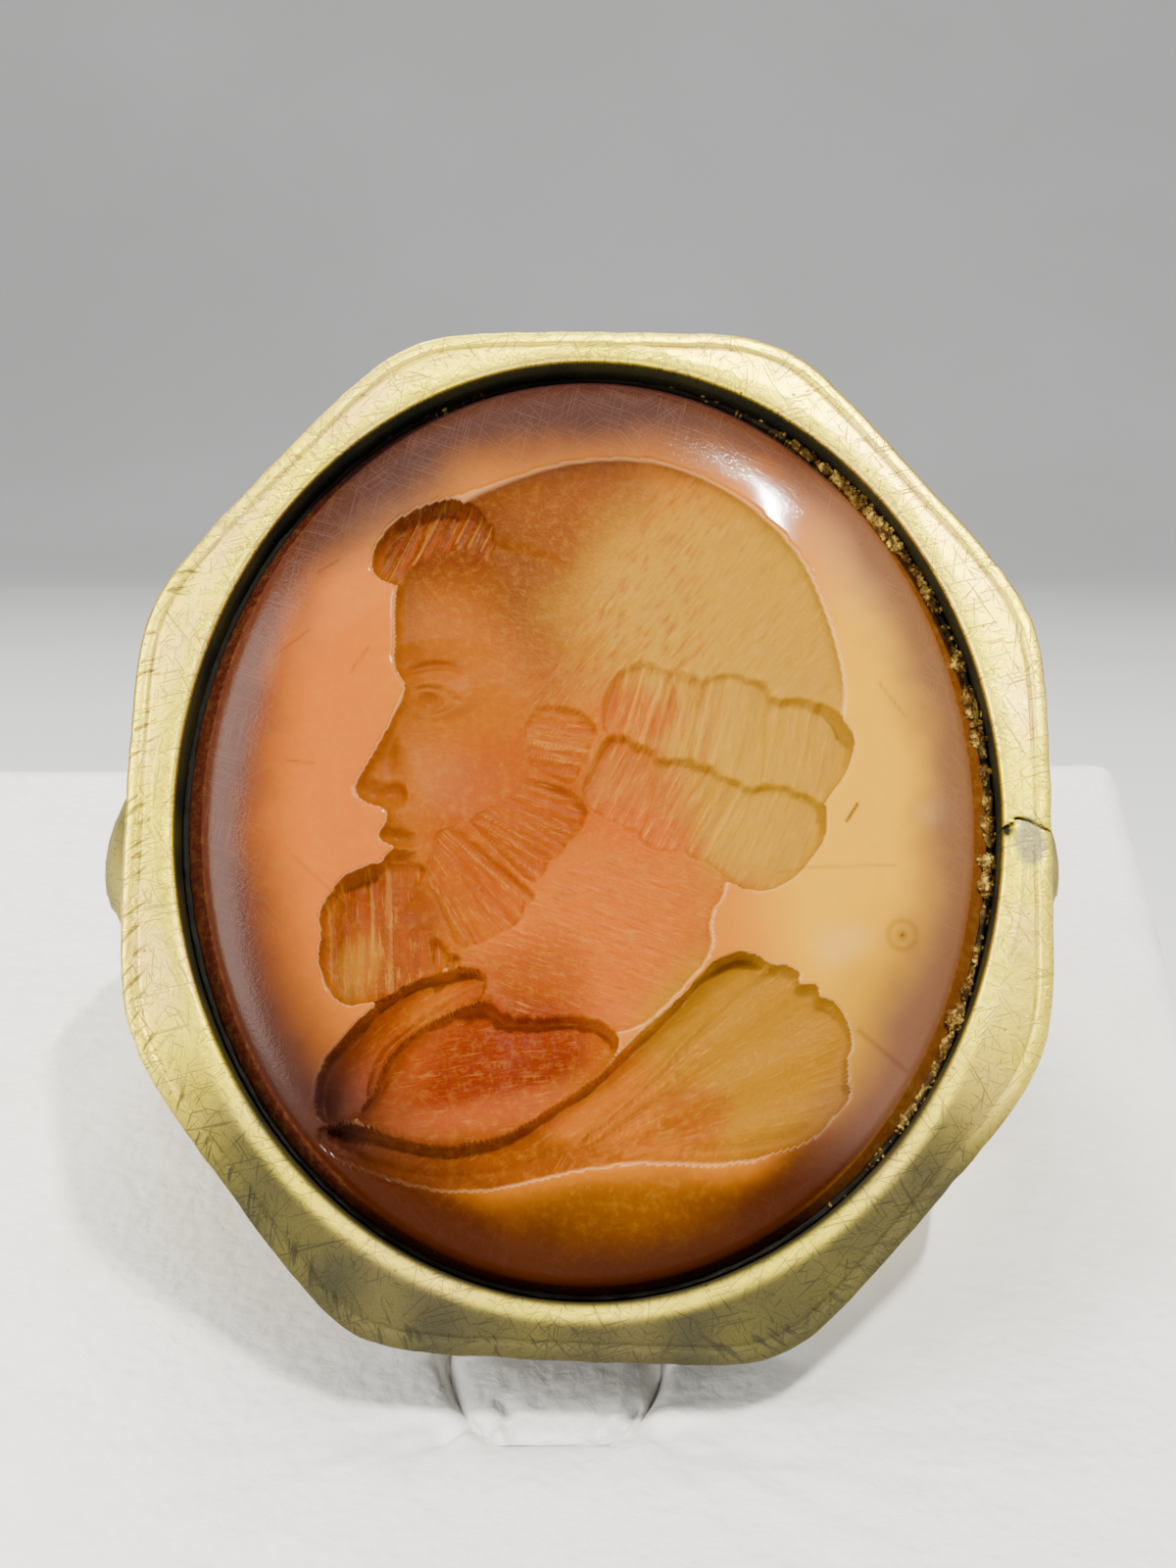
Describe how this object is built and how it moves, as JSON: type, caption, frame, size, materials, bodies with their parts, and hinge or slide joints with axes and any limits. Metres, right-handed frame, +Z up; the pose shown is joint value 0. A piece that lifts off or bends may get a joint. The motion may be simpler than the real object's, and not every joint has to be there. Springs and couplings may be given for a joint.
{
  "type": "intaglio ring on a display stand",
  "caption": "Gold signet ring with an oval carved stone in an octagonal bezel, seated on a plain wedge-shaped display stand whose tongue holds the hoop.",
  "frame": {"origin": "centre of the stand's base, on the surface that it rests on", "axes": "+Z up, the stone faces -Y and leans back 18 degrees, +X to the wearer's right as seen from the front"},
  "size_m": [0.041, 0.0414, 0.0357],
  "materials": {
    "gold": "satin, scratched",
    "stone": "polished carnelian with satin cuts",
    "cement": "matt, granular",
    "leatherette": "fine grain, satin"
  },
  "bodies": {
    "root": {"gold_mount": "gold", "intaglio_stone": "stone", "setting_cement": "cement", "stand_block": "leatherette", "stand_tongue": "leatherette"}
  },
  "joints": []
}
